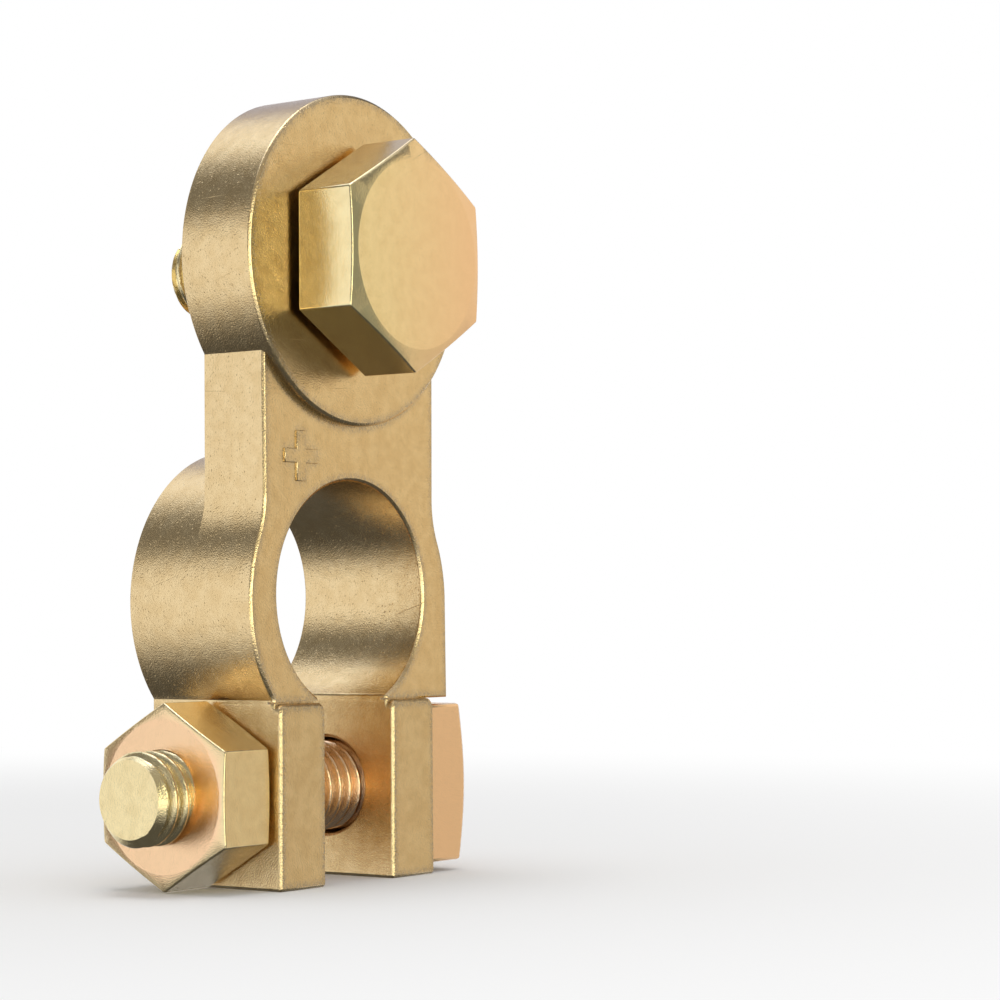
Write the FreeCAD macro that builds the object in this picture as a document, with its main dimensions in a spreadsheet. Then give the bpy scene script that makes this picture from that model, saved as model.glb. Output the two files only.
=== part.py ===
"""Brass battery terminal clamp: a split ring for a battery post, with a bolted cable seat above it.

Millimetres, +Z up. The origin is the centre of the post bore, halfway through the ring's depth.
+X points to the square head of the clamp bolt, and -Y to the hexagon head of the cable bolt.
"""
import FreeCAD, Part
import math
import os
import Sketcher

Vector = FreeCAD.Vector
ALONG_Y = Vector(0, 1, 0)
ALONG_Z = Vector(0, 0, 1)

# How close two places or directions count as the same, in millimetres and as a cosine
SMALL = 1e-3
NEARLY_ALONG = 0.97

# Driving dimensions, with what each one is
SIZES = [
    ("bore_radius", 9.35, "post bore, about the middle of a tapered positive post"),
    ("ring_wall", 3.4, "thickness of the ring at its sides"),
    ("ring_drop", 0.5, "the ring's outside is this far below the bore's centre"),
    ("ring_depth", 13.1, "length of the post bore"),
    ("arm_inset", 1.75, "the arm's side lies this far inside the ring's"),
    ("arm_thickness", 6.5, "arm, from its front face to its back face"),
    ("arm_blend", 9.0, "hollow radius where the arm runs into the ring"),
    ("boss_step", 2.65, "the boss is wider than the arm by this on each side"),
    ("boss_rise", 27.5, "centre of the boss above the centre of the bore"),
    ("boss_proud", 0.8, "the boss's front face before the arm's"),
    ("ledge_drop", 8.7, "lower edge of the front plate and of the ledge below the bore's centre"),
    ("ledge_lip", 0.1, "the ledge's corner beyond the ring's side"),
    ("slot_width", 8.6, "gap between the ears"),
    ("ear_thickness", 5.7, "each ear"),
    ("ear_proud", 0.7, "the ears' front faces before the arm's"),
    ("ear_rounding", 0.8, "rounded top corner of each ear's proud pad"),
    ("edge_bevel", 0.3, "bevel on the casting's outer edges"),
    ("thread_radius", 3.75, "outside of both bolts' threads"),
    ("thread_pitch", 1.25, "both bolts' threads, M8 coarse"),
    ("thread_depth", 0.66, "groove of both bolts' threads"),
    ("thread_crest", 0.25, "flat top between two turns of the groove"),
    ("thread_root", 0.2, "flat bottom of the groove"),
    ("plain_shank", 1.25, "shank without thread under each bolt's head"),
    ("thread_clearance", 0.05, "gap round a thread in its tapped hole"),
    ("hole_clearance", 0.3, "gap round the clamp bolt in the ears"),
    ("thread_point", 0.6, "chamfer at both bolts' ends"),
    ("square_side", 13.4, "square head, across its flats"),
    ("square_height", 5.2, "square head"),
    ("square_land_radius", 6.1, "round land on the square head's outer face"),
    ("head_clearance", 0.55, "gap between the square head and the ledge that stops it turning"),
    ("nut_flats", 13.0, "nut, across its flats"),
    ("nut_height", 5.6, "nut"),
    ("nut_land_radius", 6.05, "round land on each of the nut's faces"),
    ("nut_gap", 0.3, "gap between the nut and the left ear"),
    ("foot_clearance", 0.05, "the ears' feet below the nut's lowest corner"),
    ("bolt_end", 3.75, "clamp bolt's end beyond the nut"),
    ("cable_head_flats", 16.65, "hexagon head of the cable bolt, across its flats"),
    ("cable_head_height", 5.65, "hexagon head of the cable bolt"),
    ("cable_land_radius", 7.7, "round land on the hexagon head's outer face"),
    ("lug_gap", 0.6, "open seat for a cable lug between the hexagon head and the boss"),
    ("stub_length", 10.6, "cable bolt's end behind the boss"),
    ("head_bevel_angle", 9.0, "angle of the turned chamfer on the hexagon head and the nut"),
    ("square_bevel_angle", 15.0, "angle of the turned chamfer on the square head"),
]

# Sizes that follow from the driving ones
WORKED_OUT = [
    ("ring_radius", "bore_radius + ring_wall"),
    ("front_face", "ring_depth / 2"),
    ("arm_half", "ring_radius - arm_inset"),
    ("boss_radius", "arm_half + boss_step"),
    ("slot_half", "slot_width / 2"),
    ("ear_half", "slot_half + ear_thickness"),
    ("ledge_half", "ring_radius + ledge_lip"),
    ("clamp_bolt_drop", "ledge_drop + head_clearance + square_side / 2"),
    ("foot_drop", "clamp_bolt_drop + nut_flats / sqrt(3) + foot_clearance"),
    ("nut_seat", "ear_half + nut_gap"),
    ("clamp_shank", "ear_half + nut_seat + nut_height + bolt_end"),
    ("tapped_radius", "thread_radius + thread_clearance"),
    ("ear_hole_radius", "thread_radius + hole_clearance"),
    ("cable_seat", "front_face + boss_proud + lug_gap"),
    ("cable_shank", "lug_gap + boss_proud + arm_thickness + stub_length"),
]

doc = FreeCAD.newDocument("terminal_clamp")
sheet = doc.addObject("Spreadsheet::Sheet", "sizes")


def fill_sheet():
    """Write each size in a row of its own: its name, its value and what it is."""
    row = 1
    for name, value, note in SIZES:
        sheet.set(f"A{row}", name)
        sheet.set(f"B{row}", str(value))
        sheet.set(f"C{row}", note)
        sheet.setAlias(f"B{row}", name)
        row += 1
    for name, formula in WORKED_OUT:
        sheet.set(f"A{row}", name)
        sheet.set(f"B{row}", "=" + formula)
        sheet.setAlias(f"B{row}", name)
        row += 1
    doc.recompute()


def size(name):
    """A size from the sheet, as a number."""
    return float(getattr(sheet, name))


def cells(formula):
    """A formula of sheet names, written for an expression: each name is looked up in the sheet."""
    words = [name for name, *rest in SIZES + WORKED_OUT]
    text = ""
    word = ""
    for letter in formula + " ":
        if letter.isalnum() or letter == "_":
            word += letter
            continue
        text += f"sizes.{word}" if word in words else word
        text += letter
        word = ""
    return text.strip()


def new_body(name):
    body = doc.addObject("PartDesign::Body", name)
    body.Label = name
    return body


def origin_plane(body, role):
    return [part for part in body.Origin.OriginFeatures if part.Role == role][0]


def new_sketch(body, name, role, offset=None):
    """A sketch on one of the body's own origin planes, moved along the plane's normal by offset."""
    sketch = body.newObject("Sketcher::SketchObject", name)
    sketch.AttachmentSupport = [(origin_plane(body, role), "")]
    sketch.MapMode = "FlatFace"
    if offset:
        sketch.setExpression("AttachmentOffset.Base.z", cells(offset))
    return sketch


def constrain(sketch, kind, where, name, formula):
    """Add a named dimension to a sketch and bind it to the sheet."""
    index = sketch.addConstraint(Sketcher.Constraint(kind, *where, value_of(formula)))
    sketch.renameConstraint(index, name)
    sketch.setExpression(f"Constraints.{name}", cells(formula))


def value_of(formula):
    """The value of a formula of sheet names now, to draw a sketch near its final shape."""
    return float(sheet.evalExpression(cells(formula)))


def draw_circle(sketch, radius, up=None):
    """A circle on the sketch's upright axis, up above its origin (or below it where up is negative)."""
    height = value_of(up) if up else 0.0
    circle = sketch.addGeometry(Part.Circle(Vector(0, height, 0), Vector(0, 0, 1), value_of(radius)))
    constrain(sketch, "Radius", (circle,), "radius", radius)
    if not up:
        sketch.addConstraint(Sketcher.Constraint("Coincident", circle, 3, -1, 1))
        return circle
    sketch.addConstraint(Sketcher.Constraint("PointOnObject", circle, 3, -2))
    constrain(sketch, "DistanceY", (-1, 1, circle, 3), "height", up)
    return circle


def draw_polygon(sketch, corners):
    """A closed outline. Each corner is (name, across, up), with both given as formulas of the sheet."""
    points = [Vector(value_of(across), value_of(up), 0) for name, across, up in corners]
    lines = []
    for place, start in enumerate(points):
        finish = points[(place + 1) % len(points)]
        lines.append(sketch.addGeometry(Part.LineSegment(start, finish)))
    for place, line in enumerate(lines):
        following = lines[(place + 1) % len(lines)]
        sketch.addConstraint(Sketcher.Constraint("Coincident", line, 2, following, 1))
    for line, (name, across, up) in zip(lines, corners):
        constrain(sketch, "DistanceX", (-1, 1, line, 1), name + "_across", across)
        constrain(sketch, "DistanceY", (-1, 1, line, 1), name + "_up", up)
    return lines


def draw_rectangle(sketch, left, right, low, high):
    corners = [("low_left", left, low), ("low_right", right, low),
               ("high_right", right, high), ("high_left", left, high)]
    return draw_polygon(sketch, corners)


def draw_round_topped(sketch, name, left, right, low, high, radius):
    """A closed upright outline whose two upper corners are rounded."""
    spots = [("low_left", left, low), ("low_right", right, low),
             ("right_start", right, f"{high} - {radius}"), ("right_end", f"{right} - {radius}", high),
             ("left_start", f"{left} + {radius}", high), ("left_end", left, f"{high} - {radius}")]
    points = [Vector(value_of(across), value_of(up), 0) for spot, across, up in spots]
    pieces = []
    for place, start in enumerate(points):
        finish = points[(place + 1) % len(points)]
        if not spots[place][0].endswith("_start"):
            pieces.append((sketch.addGeometry(Part.LineSegment(start, finish)), 1, 2))
            continue
        outwards = 1 if place == 2 else -1
        corner = start if outwards > 0 else finish
        centre = Vector(corner.x - outwards * value_of(radius), corner.y, 0)
        first, last = (0, math.pi / 2) if outwards > 0 else (math.pi / 2, math.pi)
        circle = Part.Circle(centre, Vector(0, 0, 1), value_of(radius))
        pieces.append((sketch.addGeometry(Part.ArcOfCircle(circle, first, last)), 1, 2))
        constrain(sketch, "Radius", (pieces[-1][0],), f"{name}_{spots[place][0]}_radius", radius)
    for place, (piece, start, finish) in enumerate(pieces):
        following = pieces[(place + 1) % len(pieces)]
        sketch.addConstraint(Sketcher.Constraint("Coincident", piece, finish, following[0], following[1]))
    for (piece, start, finish), (spot, across, up) in zip(pieces, spots):
        constrain(sketch, "DistanceX", (-1, 1, piece, start), f"{name}_{spot}_across", across)
        constrain(sketch, "DistanceY", (-1, 1, piece, start), f"{name}_{spot}_up", up)


def draw_regular(sketch, sides, flats, upright):
    """A regular outline about the origin, given across its flats; a corner lies on one of the axes."""
    corner_radius = f"{flats} / 2 / cos({180 / sides})"
    reach = value_of(flats) / 2 / math.cos(math.pi / sides)
    guide = sketch.addGeometry(Part.Circle(Vector(0, 0, 0), Vector(0, 0, 1), reach))
    sketch.toggleConstruction(guide)
    sketch.addConstraint(Sketcher.Constraint("Coincident", guide, 3, -1, 1))
    constrain(sketch, "Radius", (guide,), "corner_radius", corner_radius)
    points = []
    for corner in range(sides):
        angle = (math.pi / 2 if upright else 0.0) + 2 * math.pi * corner / sides
        points.append(Vector(reach * math.cos(angle), reach * math.sin(angle), 0))
    lines = []
    for corner in range(sides):
        lines.append(sketch.addGeometry(Part.LineSegment(points[corner], points[(corner + 1) % sides])))
    for corner in range(sides):
        following = lines[(corner + 1) % sides]
        sketch.addConstraint(Sketcher.Constraint("Coincident", lines[corner], 2, following, 1))
        sketch.addConstraint(Sketcher.Constraint("PointOnObject", lines[corner], 1, guide))
    for line in lines[1:]:
        sketch.addConstraint(Sketcher.Constraint("Equal", lines[0], line))
    sketch.addConstraint(Sketcher.Constraint("PointOnObject", lines[0], 1, -2 if upright else -1))
    return lines


def add_pad(body, sketch, name, length, both_ways=False, backwards=False):
    pad = body.newObject("PartDesign::Pad", name)
    pad.Profile = sketch
    pad.SideType = "Symmetric" if both_ways else "One side"
    pad.Reversed = backwards
    pad.setExpression("Length", cells(length))
    doc.recompute()
    return pad


def add_pocket(body, sketch, name, length):
    """A pocket cut both ways from the sketch; it stops the script if it takes nothing away."""
    before = body.Tip.Shape.Volume
    pocket = body.newObject("PartDesign::Pocket", name)
    pocket.Profile = sketch
    pocket.SideType = "Symmetric"
    pocket.setExpression("Length", cells(length))
    doc.recompute()
    if pocket.Shape.Volume > before - SMALL:
        raise RuntimeError(f"{name} cuts nothing")
    return pocket


def turn_chamfer(body, name, land_radius, face_at, angle, reach, upwards=True):
    """The chamfer turned on a head or nut: a cone about the local Z axis, outside a round land."""
    before = body.Tip.Shape.Volume
    fall = f"({reach} - {land_radius}) * tan({angle})"
    low = f"{face_at} - {fall}" if upwards else f"{face_at} + {fall}"
    sketch = new_sketch(body, name + "_profile", "XZ_Plane")
    draw_polygon(sketch, [("land", land_radius, face_at), ("rim", reach, face_at), ("foot", reach, low)])
    doc.recompute()
    groove = body.newObject("PartDesign::Groove", name)
    groove.Profile = sketch
    groove.ReferenceAxis = (sketch, ["V_Axis"])
    groove.Angle = 360
    doc.recompute()
    if groove.Shape.Volume > before - SMALL:
        raise RuntimeError(f"{name} cuts nothing")
    return groove


def dress(body, kind, name, edges, formula):
    """Chamfer or fillet the edges of the body's latest feature."""
    feature = body.newObject(kind, name)
    feature.Base = (body.Tip, edges) if body.Tip != feature else (feature.BaseFeature, edges)
    feature.setExpression("Radius" if kind.endswith("Fillet") else "Size", cells(formula))
    doc.recompute()
    return feature


def edges_where(shape, test):
    """The names of the edges that pass a test."""
    return [f"Edge{place}" for place, edge in enumerate(shape.Edges, 1) if test(edge)]


def runs_along(edge, direction):
    """True for a straight edge that lies along a direction."""
    if not isinstance(edge.Curve, Part.Line):
        return False
    return abs(abs(edge.Curve.Direction.dot(direction)) - 1) < SMALL


def is_outer_corner(shape, edge):
    """True where two faces meet at an outside corner, so that a bevel takes metal off."""
    faces = shape.ancestorsOfType(edge, Part.Face)
    if len(faces) != 2 or edge.Length < 4 * size("edge_bevel"):
        return False
    middle = edge.valueAt((edge.FirstParameter + edge.LastParameter) / 2)
    normals = [face.normalAt(*face.Surface.parameter(middle)) for face in faces]
    if abs(normals[0].dot(normals[1])) > NEARLY_ALONG:
        return False
    across = normals[1] - normals[0] * normals[0].dot(normals[1])
    beyond = middle + across.normalize() * size("edge_bevel") / 3 - normals[0] * SMALL * 10
    return not shape.isInside(beyond, SMALL, True)


def build_clamp_body():
    """One casting: the split ring, the arm, the boss for the cable bolt, and the two ears."""
    body = new_body("clamp_body")

    ring = new_sketch(body, "ring_outline", "XZ_Plane")
    draw_circle(ring, "ring_radius", "-ring_drop")
    add_pad(body, ring, "ring", "ring_depth", both_ways=True)

    arm = new_sketch(body, "arm_outline", "XZ_Plane", "front_face")
    draw_rectangle(arm, "-arm_half", "arm_half", "0 * boss_rise", "boss_rise")
    add_pad(body, arm, "arm", "arm_thickness", backwards=True)

    boss = new_sketch(body, "boss_outline", "XZ_Plane", "front_face + boss_proud")
    draw_circle(boss, "boss_radius", "boss_rise")
    add_pad(body, boss, "boss", "boss_proud + arm_thickness", backwards=True)

    ears = new_sketch(body, "ear_outline", "XZ_Plane")
    draw_rectangle(ears, "-ear_half", "ear_half", "-foot_drop", "-bore_radius / 2")
    add_pad(body, ears, "ears", "ring_depth", both_ways=True)

    pads = new_sketch(body, "ear_pad_outline", "XZ_Plane", "front_face")
    draw_round_topped(pads, "left", "-ear_half", "-slot_half", "-foot_drop", "-ledge_drop", "ear_rounding")
    draw_round_topped(pads, "right", "slot_half", "ear_half", "-foot_drop", "-ledge_drop", "ear_rounding")
    add_pad(body, pads, "ear_pads", "ear_proud")

    ledge = new_sketch(body, "ledge_outline", "XZ_Plane")
    draw_polygon(ledge, [("root", "ear_half - ear_thickness / 2", "-ledge_drop"),
                         ("corner", "ledge_half", "-ledge_drop"),
                         ("side", "ring_radius", "-ring_drop"),
                         ("wall", "bore_radius + ring_wall / 2", "-ring_drop")])
    add_pad(body, ledge, "ledge", "ring_depth", both_ways=True)

    bore = new_sketch(body, "bore_outline", "XZ_Plane")
    draw_circle(bore, "bore_radius")
    add_pocket(body, bore, "post_bore", "ring_depth * 2")

    slot = new_sketch(body, "slot_outline", "XZ_Plane")
    draw_rectangle(slot, "-slot_half", "slot_half", "-foot_drop * 1.2", "-bore_radius / 2")
    add_pocket(body, slot, "slot", "ring_depth * 2")

    bolt_hole = new_sketch(body, "ear_hole_outline", "YZ_Plane")
    draw_circle(bolt_hole, "ear_hole_radius", "-clamp_bolt_drop")
    add_pocket(body, bolt_hole, "ear_holes", "ear_half * 4")

    tapped = new_sketch(body, "tapped_hole_outline", "XZ_Plane")
    draw_circle(tapped, "tapped_radius", "boss_rise")
    add_pocket(body, tapped, "tapped_hole", "ring_depth * 4")

    blend_arm_into_ring(body)
    bevel_casting(body)
    return body


def blend_arm_into_ring(body):
    """The hollow curve at each side where the arm widens into the ring."""
    def at_the_neck(edge):
        place = edge.CenterOfMass
        level = 0 < place.z < size("boss_rise") / 2
        return runs_along(edge, ALONG_Y) and level and abs(abs(place.x) - size("arm_half")) < SMALL

    edges = edges_where(body.Tip.Shape, at_the_neck)
    dress(body, "PartDesign::Fillet", "arm_blends", edges, "arm_blend")


def bevel_casting(body):
    """A small even bevel along the casting's outside corners.

    The bolts' holes stay sharp, and so do the short edges behind the pads' rounded corners and the
    arm's back edges, which run out into the ring.
    """
    shape = body.Tip.Shape
    widest_hole = size("ear_hole_radius") + SMALL
    arm_back = size("arm_thickness") - size("front_face")

    def is_beside_pad_corner(edge):
        place = edge.CenterOfMass
        across = min(abs(abs(place.x) - size(name)) for name in ("ear_half", "slot_half"))
        in_front = abs(place.y + size("front_face")) < SMALL
        return runs_along(edge, ALONG_Z) and in_front and across < SMALL

    def wants_bevel(edge):
        radius = edge.Curve.Radius if isinstance(edge.Curve, Part.Circle) else 0.0
        if 0 < radius < widest_hole or is_beside_pad_corner(edge):
            return False
        if abs(edge.CenterOfMass.y - arm_back) < SMALL and abs(radius - size("boss_radius")) > SMALL:
            return False
        return is_outer_corner(shape, edge)

    dress(body, "PartDesign::Chamfer", "bevels", edges_where(shape, wants_bevel), "edge_bevel")


def build_cable_bolt():
    """The hexagon head bolt that clamps the cable lug. Local Z runs from its shank to its head."""
    body = new_body("cable_bolt")
    shank = new_sketch(body, "shank_outline", "XY_Plane")
    draw_circle(shank, "thread_radius")
    add_pad(body, shank, "shank", "cable_shank", backwards=True)
    point_the_thread(body, "cable_shank")
    cut_thread(body, "cable_shank")
    head = new_sketch(body, "head_outline", "XY_Plane")
    draw_regular(head, 6, "cable_head_flats", upright=True)
    add_pad(body, head, "head", "cable_head_height")
    turn_chamfer(body, "head_chamfer", "cable_land_radius", "cable_head_height", "head_bevel_angle",
                 "cable_head_flats")
    body.Placement.Rotation = FreeCAD.Rotation(Vector(1, 0, 0), 90)
    body.setExpression("Placement.Base.y", cells("-cable_seat"))
    body.setExpression("Placement.Base.z", cells("boss_rise"))
    return body


def point_the_thread(body, length):
    """The chamfer at the end of a shank that runs down from its head."""
    def at_the_end(edge):
        return abs(edge.CenterOfMass.z + size(length)) < SMALL

    dress(body, "PartDesign::Chamfer", "point", edges_where(body.Tip.Shape, at_the_end), "thread_point")


def cut_thread(body, length):
    """The helical groove on a shank that runs down from its head, out past its end."""
    before = body.Tip.Shape.Volume
    profile = new_sketch(body, "thread_profile", "XZ_Plane")
    beyond = "thread_radius + thread_depth / 2"
    mouth = "(thread_pitch - thread_crest) * 3 / 4 - thread_root / 4"
    start = f"-({length} + thread_pitch)"
    draw_polygon(profile, [("root_low", "thread_radius - thread_depth", f"{start} - thread_root / 2"),
                           ("mouth_low", beyond, f"{start} - ({mouth})"),
                           ("mouth_high", beyond, f"{start} + {mouth}"),
                           ("root_high", "thread_radius - thread_depth", f"{start} + thread_root / 2")])
    doc.recompute()
    groove = body.newObject("PartDesign::SubtractiveHelix", "thread")
    groove.Profile = profile
    groove.ReferenceAxis = (profile, ["V_Axis"])
    groove.Mode = 0
    groove.setExpression("Pitch", cells("thread_pitch"))
    groove.setExpression("Height", cells(f"{length} + thread_pitch - plain_shank"))
    groove.LeftHanded = False
    groove.Reversed = False
    doc.recompute()
    if groove.Shape.Volume > before - SMALL:
        raise RuntimeError("thread cuts nothing")
    return groove


def build_clamp_bolt():
    """The square head bolt through both ears. Local Z runs from its shank to its head."""
    body = new_body("clamp_bolt")
    shank = new_sketch(body, "shank_outline", "XY_Plane")
    draw_circle(shank, "thread_radius")
    add_pad(body, shank, "shank", "clamp_shank", backwards=True)
    point_the_thread(body, "clamp_shank")
    cut_thread(body, "clamp_shank")
    head = new_sketch(body, "head_outline", "XY_Plane")
    draw_rectangle(head, "-square_side / 2", "square_side / 2", "-square_side / 2", "square_side / 2")
    add_pad(body, head, "head", "square_height")
    turn_chamfer(body, "head_chamfer", "square_land_radius", "square_height", "square_bevel_angle",
                 "square_side")
    body.Placement.Rotation = FreeCAD.Rotation(Vector(0, 1, 0), 90)
    body.setExpression("Placement.Base.x", cells("ear_half"))
    body.setExpression("Placement.Base.z", cells("-clamp_bolt_drop"))
    return body


def build_clamp_nut():
    """The hexagon nut. Local Z runs from the ear outwards, and a corner points straight down."""
    body = new_body("clamp_nut")
    outline = new_sketch(body, "nut_outline", "XY_Plane")
    draw_regular(outline, 6, "nut_flats", upright=False)
    add_pad(body, outline, "nut", "nut_height")
    turn_chamfer(body, "outer_chamfer", "nut_land_radius", "nut_height", "head_bevel_angle", "nut_flats")
    turn_chamfer(body, "inner_chamfer", "nut_land_radius", "0 * nut_height", "head_bevel_angle",
                 "nut_flats", upwards=False)
    hole = new_sketch(body, "thread_outline", "XY_Plane")
    draw_circle(hole, "tapped_radius")
    add_pocket(body, hole, "thread", "nut_height * 3")
    body.Placement.Rotation = FreeCAD.Rotation(Vector(0, 1, 0), -90)
    body.setExpression("Placement.Base.x", cells("-nut_seat"))
    body.setExpression("Placement.Base.z", cells("-clamp_bolt_drop"))
    return body


def check_document():
    """Stop if any object of the document failed to build."""
    for part in doc.Objects:
        if "Invalid" in part.State or "Error" in part.State:
            raise RuntimeError(f"{part.Name} failed: {part.State}")


def write_step(body):
    shape = body.Shape
    if shape.isNull() or not shape.isValid():
        raise RuntimeError(f"{body.Label} has no valid shape")
    shape.exportStep(f"parts/{body.Label}.step")
    box = shape.optimalBoundingBox(True)
    corners = [round(value, 2) for value in (box.XMin, box.XMax, box.YMin, box.YMax, box.ZMin, box.ZMax)]
    print(body.Label, "solids", len(shape.Solids), "volume", round(shape.Volume, 1), "box", corners)


fill_sheet()
bodies = [build_clamp_body(), build_cable_bolt(), build_clamp_bolt(), build_clamp_nut()]
doc.recompute()
check_document()
os.makedirs("parts", exist_ok=True)
for body in bodies:
    write_step(body)
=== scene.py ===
# %% [markdown]
# A brass battery terminal clamp
#
# The clamp is a casting with three fasteners. A split ring grips the battery's post, an arm
# carries a round boss, and a big hexagon bolt in that boss holds the cable's lug. Under the ring
# two ears are pulled together by a square head bolt and a nut.
#
# The construction model already has every piece at its real size and place. In this lesson each
# piece is made again as a finer mesh for the picture: with rounded edges, real screw threads and a
# brass finish. The construction model stays as the frame that everything is measured from.

# %% Load the frame
import math
import bmesh
import bpy
from mathutils import Matrix, Vector


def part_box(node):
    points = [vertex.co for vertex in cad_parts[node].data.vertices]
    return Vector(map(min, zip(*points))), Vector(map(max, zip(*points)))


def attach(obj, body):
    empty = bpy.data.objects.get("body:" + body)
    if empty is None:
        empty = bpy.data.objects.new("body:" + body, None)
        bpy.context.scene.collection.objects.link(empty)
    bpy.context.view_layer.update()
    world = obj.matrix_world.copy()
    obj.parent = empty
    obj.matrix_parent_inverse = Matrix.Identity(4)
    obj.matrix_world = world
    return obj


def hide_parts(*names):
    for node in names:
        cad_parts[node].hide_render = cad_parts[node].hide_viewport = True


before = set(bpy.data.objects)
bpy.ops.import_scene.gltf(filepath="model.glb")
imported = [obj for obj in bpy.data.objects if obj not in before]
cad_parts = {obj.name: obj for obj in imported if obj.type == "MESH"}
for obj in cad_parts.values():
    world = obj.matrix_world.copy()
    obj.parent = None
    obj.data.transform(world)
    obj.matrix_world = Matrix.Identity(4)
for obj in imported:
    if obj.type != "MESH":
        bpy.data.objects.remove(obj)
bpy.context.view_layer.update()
print("nodes:", sorted(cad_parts))

# %% [markdown]
# Sizes
#
# Workshop drawings of small parts are in millimetres, so the outlines below are too. A mesh is
# scaled to metres once, when it becomes a piece. The boxes of the frame's nodes already give most
# of the sizes, and reading them there keeps the picture and the model together.

# %% Read sizes from the frame's nodes
MM = 0.001


def box_in_mm(node):
    """The lowest and highest corner of a node, in millimetres."""
    low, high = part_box(node)
    return low / MM, high / MM


casting_low, casting_high = box_in_mm("clamp_body")
cable_low, cable_high = box_in_mm("cable_bolt")
clamp_low, clamp_high = box_in_mm("clamp_bolt")
nut_low, nut_high = box_in_mm("clamp_nut")

BOSS_RADIUS = casting_high.x
BOSS_HEIGHT = casting_high.z - BOSS_RADIUS
FOOT = casting_low.z
RING_BACK = casting_high.y
PLATE_FRONT = -RING_BACK
CLAMP_AXIS = (clamp_low.z + clamp_high.z) / 2
print("boss radius", round(BOSS_RADIUS, 2), "at height", round(BOSS_HEIGHT, 2))
print("foot", round(FOOT, 2), "clamp bolt at height", round(CLAMP_AXIS, 2))

# %% [markdown]
# Outlines
#
# The casting is flat from front to back, so its shape is an outline that is pushed back through a
# thickness, like dough through a cutter. Straight sides are two points and round stretches are
# arcs. A curve object would do as well, but a list of points can be turned round, mirrored and
# joined to another with plain Python.

# %% Points on an arc
FULL_TURN = 360.0
HALF_TURN = 180.0
QUARTER_TURN = 90.0
SMOOTH_ARC = 96


def arc(centre, radius, first, last, steps):
    """Points on an arc about a centre, from one angle to another in degrees, both ends included."""
    points = []
    for step in range(steps + 1):
        angle = math.radians(first + (last - first) * step / steps)
        points.append((centre[0] + radius * math.cos(angle), centre[1] + radius * math.sin(angle)))
    return points


print("a quarter of a circle in three steps:", len(arc((0, 0), 1.0, 0, QUARTER_TURN, 3)), "points")

# %% The casting's own sizes
BORE_RADIUS = 9.35
RING_RADIUS = 12.75
RING_CENTRE = (0.0, -0.5)
ARM_HALF = 11.0
ARM_BACK = -0.05
BLEND_RADIUS = 9.0
BOSS_FRONT = -7.35
EAR_PROUD = 0.7
EAR_FRONT = PLATE_FRONT - EAR_PROUD
EAR_HALF = 10.0
SLOT_HALF = 4.3
LEDGE = -8.7
LEDGE_CORNER = 12.85
print("ring wall", round(RING_RADIUS - BORE_RADIUS, 2), "ear", round(EAR_HALF - SLOT_HALF, 2), "thick")

# %% [markdown]
# Where the arcs meet
#
# The arm swells into the ring through a hollow arc on each side. Two arcs flow into each other
# without a kink where their centres and the meeting point lie on one line. So the blend's centre is
# as far from the ring's centre as both radii together, and a right-angled triangle gives its
# height. Guessing the angles would leave a small step, which metal shows at once.

# %% Work out the meeting points
blend_across = ARM_HALF + BLEND_RADIUS
blend_reach = RING_RADIUS + BLEND_RADIUS
blend_rise = math.sqrt(blend_reach ** 2 - blend_across ** 2)
BLEND_HEIGHT = RING_CENTRE[1] + blend_rise
BLEND_ANGLE = math.degrees(math.atan2(blend_rise, blend_across))
NECK_ANGLE = math.degrees(math.acos(ARM_HALF / BOSS_RADIUS))
EAR_ANGLE = math.degrees(math.acos(EAR_HALF / RING_RADIUS))
SLOT_ANGLE = math.degrees(math.acos(SLOT_HALF / BORE_RADIUS))
print("arm blends into the ring at", round(BLEND_ANGLE, 1), "degrees")
print("boss leaves the arm at", round(NECK_ANGLE, 1), "degrees below level")

# %% Outline pieces that the ring and the plate share
BLEND_STEPS = 12


def lower_right():
    """The right ear, its slot wall and the ledge that stops the square head from turning."""
    return [(SLOT_HALF, FOOT), (EAR_HALF, FOOT), (EAR_HALF, LEDGE), (LEDGE_CORNER, LEDGE)]


def lower_left():
    """The left ear and the bore, back to the slot's right wall."""
    bore = arc((0, 0), BORE_RADIUS, HALF_TURN + SLOT_ANGLE, -SLOT_ANGLE, SMOOTH_ARC * 2)
    return [(-EAR_HALF, FOOT), (-SLOT_HALF, FOOT)] + bore


def side_arc(first, last):
    """A stretch of the ring's outside."""
    return arc(RING_CENTRE, RING_RADIUS, first, last, SMOOTH_ARC // 4)


def mirrored(points):
    """The same points on the other side, in the order that keeps the outline going round."""
    return [(-across, height) for across, height in reversed(points)]


print("bore and left ear:", len(lower_left()), "points")

# %% The outlines of the ring and the plate
ring_outline = lower_right()
ring_outline += side_arc(0, BLEND_ANGLE)
ring_outline += arc(RING_CENTRE, RING_RADIUS, BLEND_ANGLE, HALF_TURN - BLEND_ANGLE, SMOOTH_ARC)[1:-1]
ring_outline += side_arc(HALF_TURN - BLEND_ANGLE, HALF_TURN + EAR_ANGLE)
ring_outline += lower_left()

blend_centre = (blend_across, BLEND_HEIGHT)
right_blend = arc(blend_centre, BLEND_RADIUS, HALF_TURN + BLEND_ANGLE, HALF_TURN, BLEND_STEPS)
boss_centre = (0, BOSS_HEIGHT)
boss_top = arc(boss_centre, BOSS_RADIUS, -NECK_ANGLE, HALF_TURN + NECK_ANGLE, SMOOTH_ARC * 2)
plate_outline = lower_right()
plate_outline += side_arc(0, BLEND_ANGLE)
plate_outline += right_blend[1:] + boss_top + mirrored(right_blend)[:-1]
plate_outline += side_arc(HALF_TURN - BLEND_ANGLE, HALF_TURN + EAR_ANGLE)
plate_outline += lower_left()
print("plate outline has", len(plate_outline), "points, ring outline", len(ring_outline))

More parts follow.
